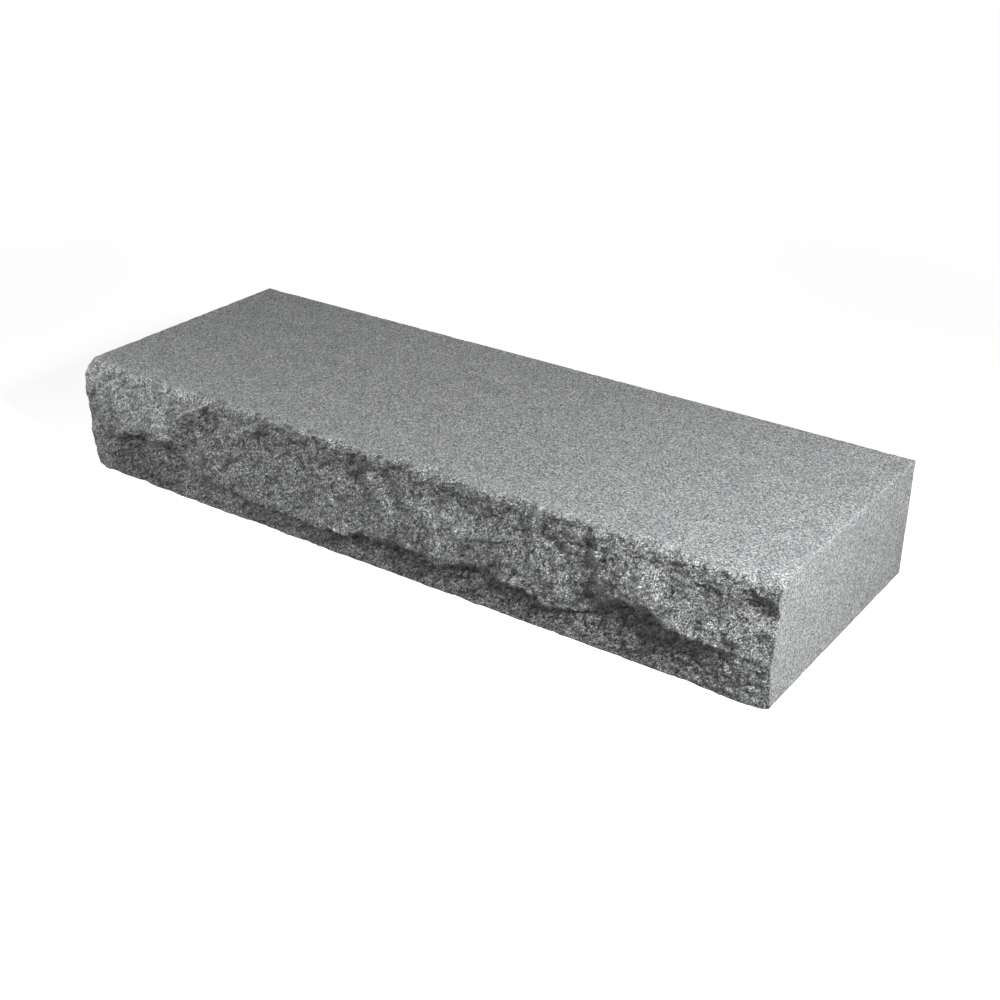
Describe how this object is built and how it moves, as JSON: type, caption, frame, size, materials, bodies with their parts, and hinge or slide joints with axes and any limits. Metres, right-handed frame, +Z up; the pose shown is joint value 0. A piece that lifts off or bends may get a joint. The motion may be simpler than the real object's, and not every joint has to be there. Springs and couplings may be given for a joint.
{
  "type": "granite step",
  "caption": "Rectangular granite block step with a level flamed tread, sawn bed, back and ends, and a rock-pitched riser face with overhanging lips.",
  "frame": {"origin": "middle of the bounding box in plan, at the level of the bed", "axes": "+X along the step's length, +Y from the rock-pitched riser towards the sawn back, +Z up from the bed to the tread"},
  "size_m": [1, 0.3774, 0.15],
  "materials": {
    "granite": "fine-flamed tread and ends, rock-pitched riser"
  },
  "bodies": {
    "root": {"granite_step": "granite"}
  },
  "joints": []
}
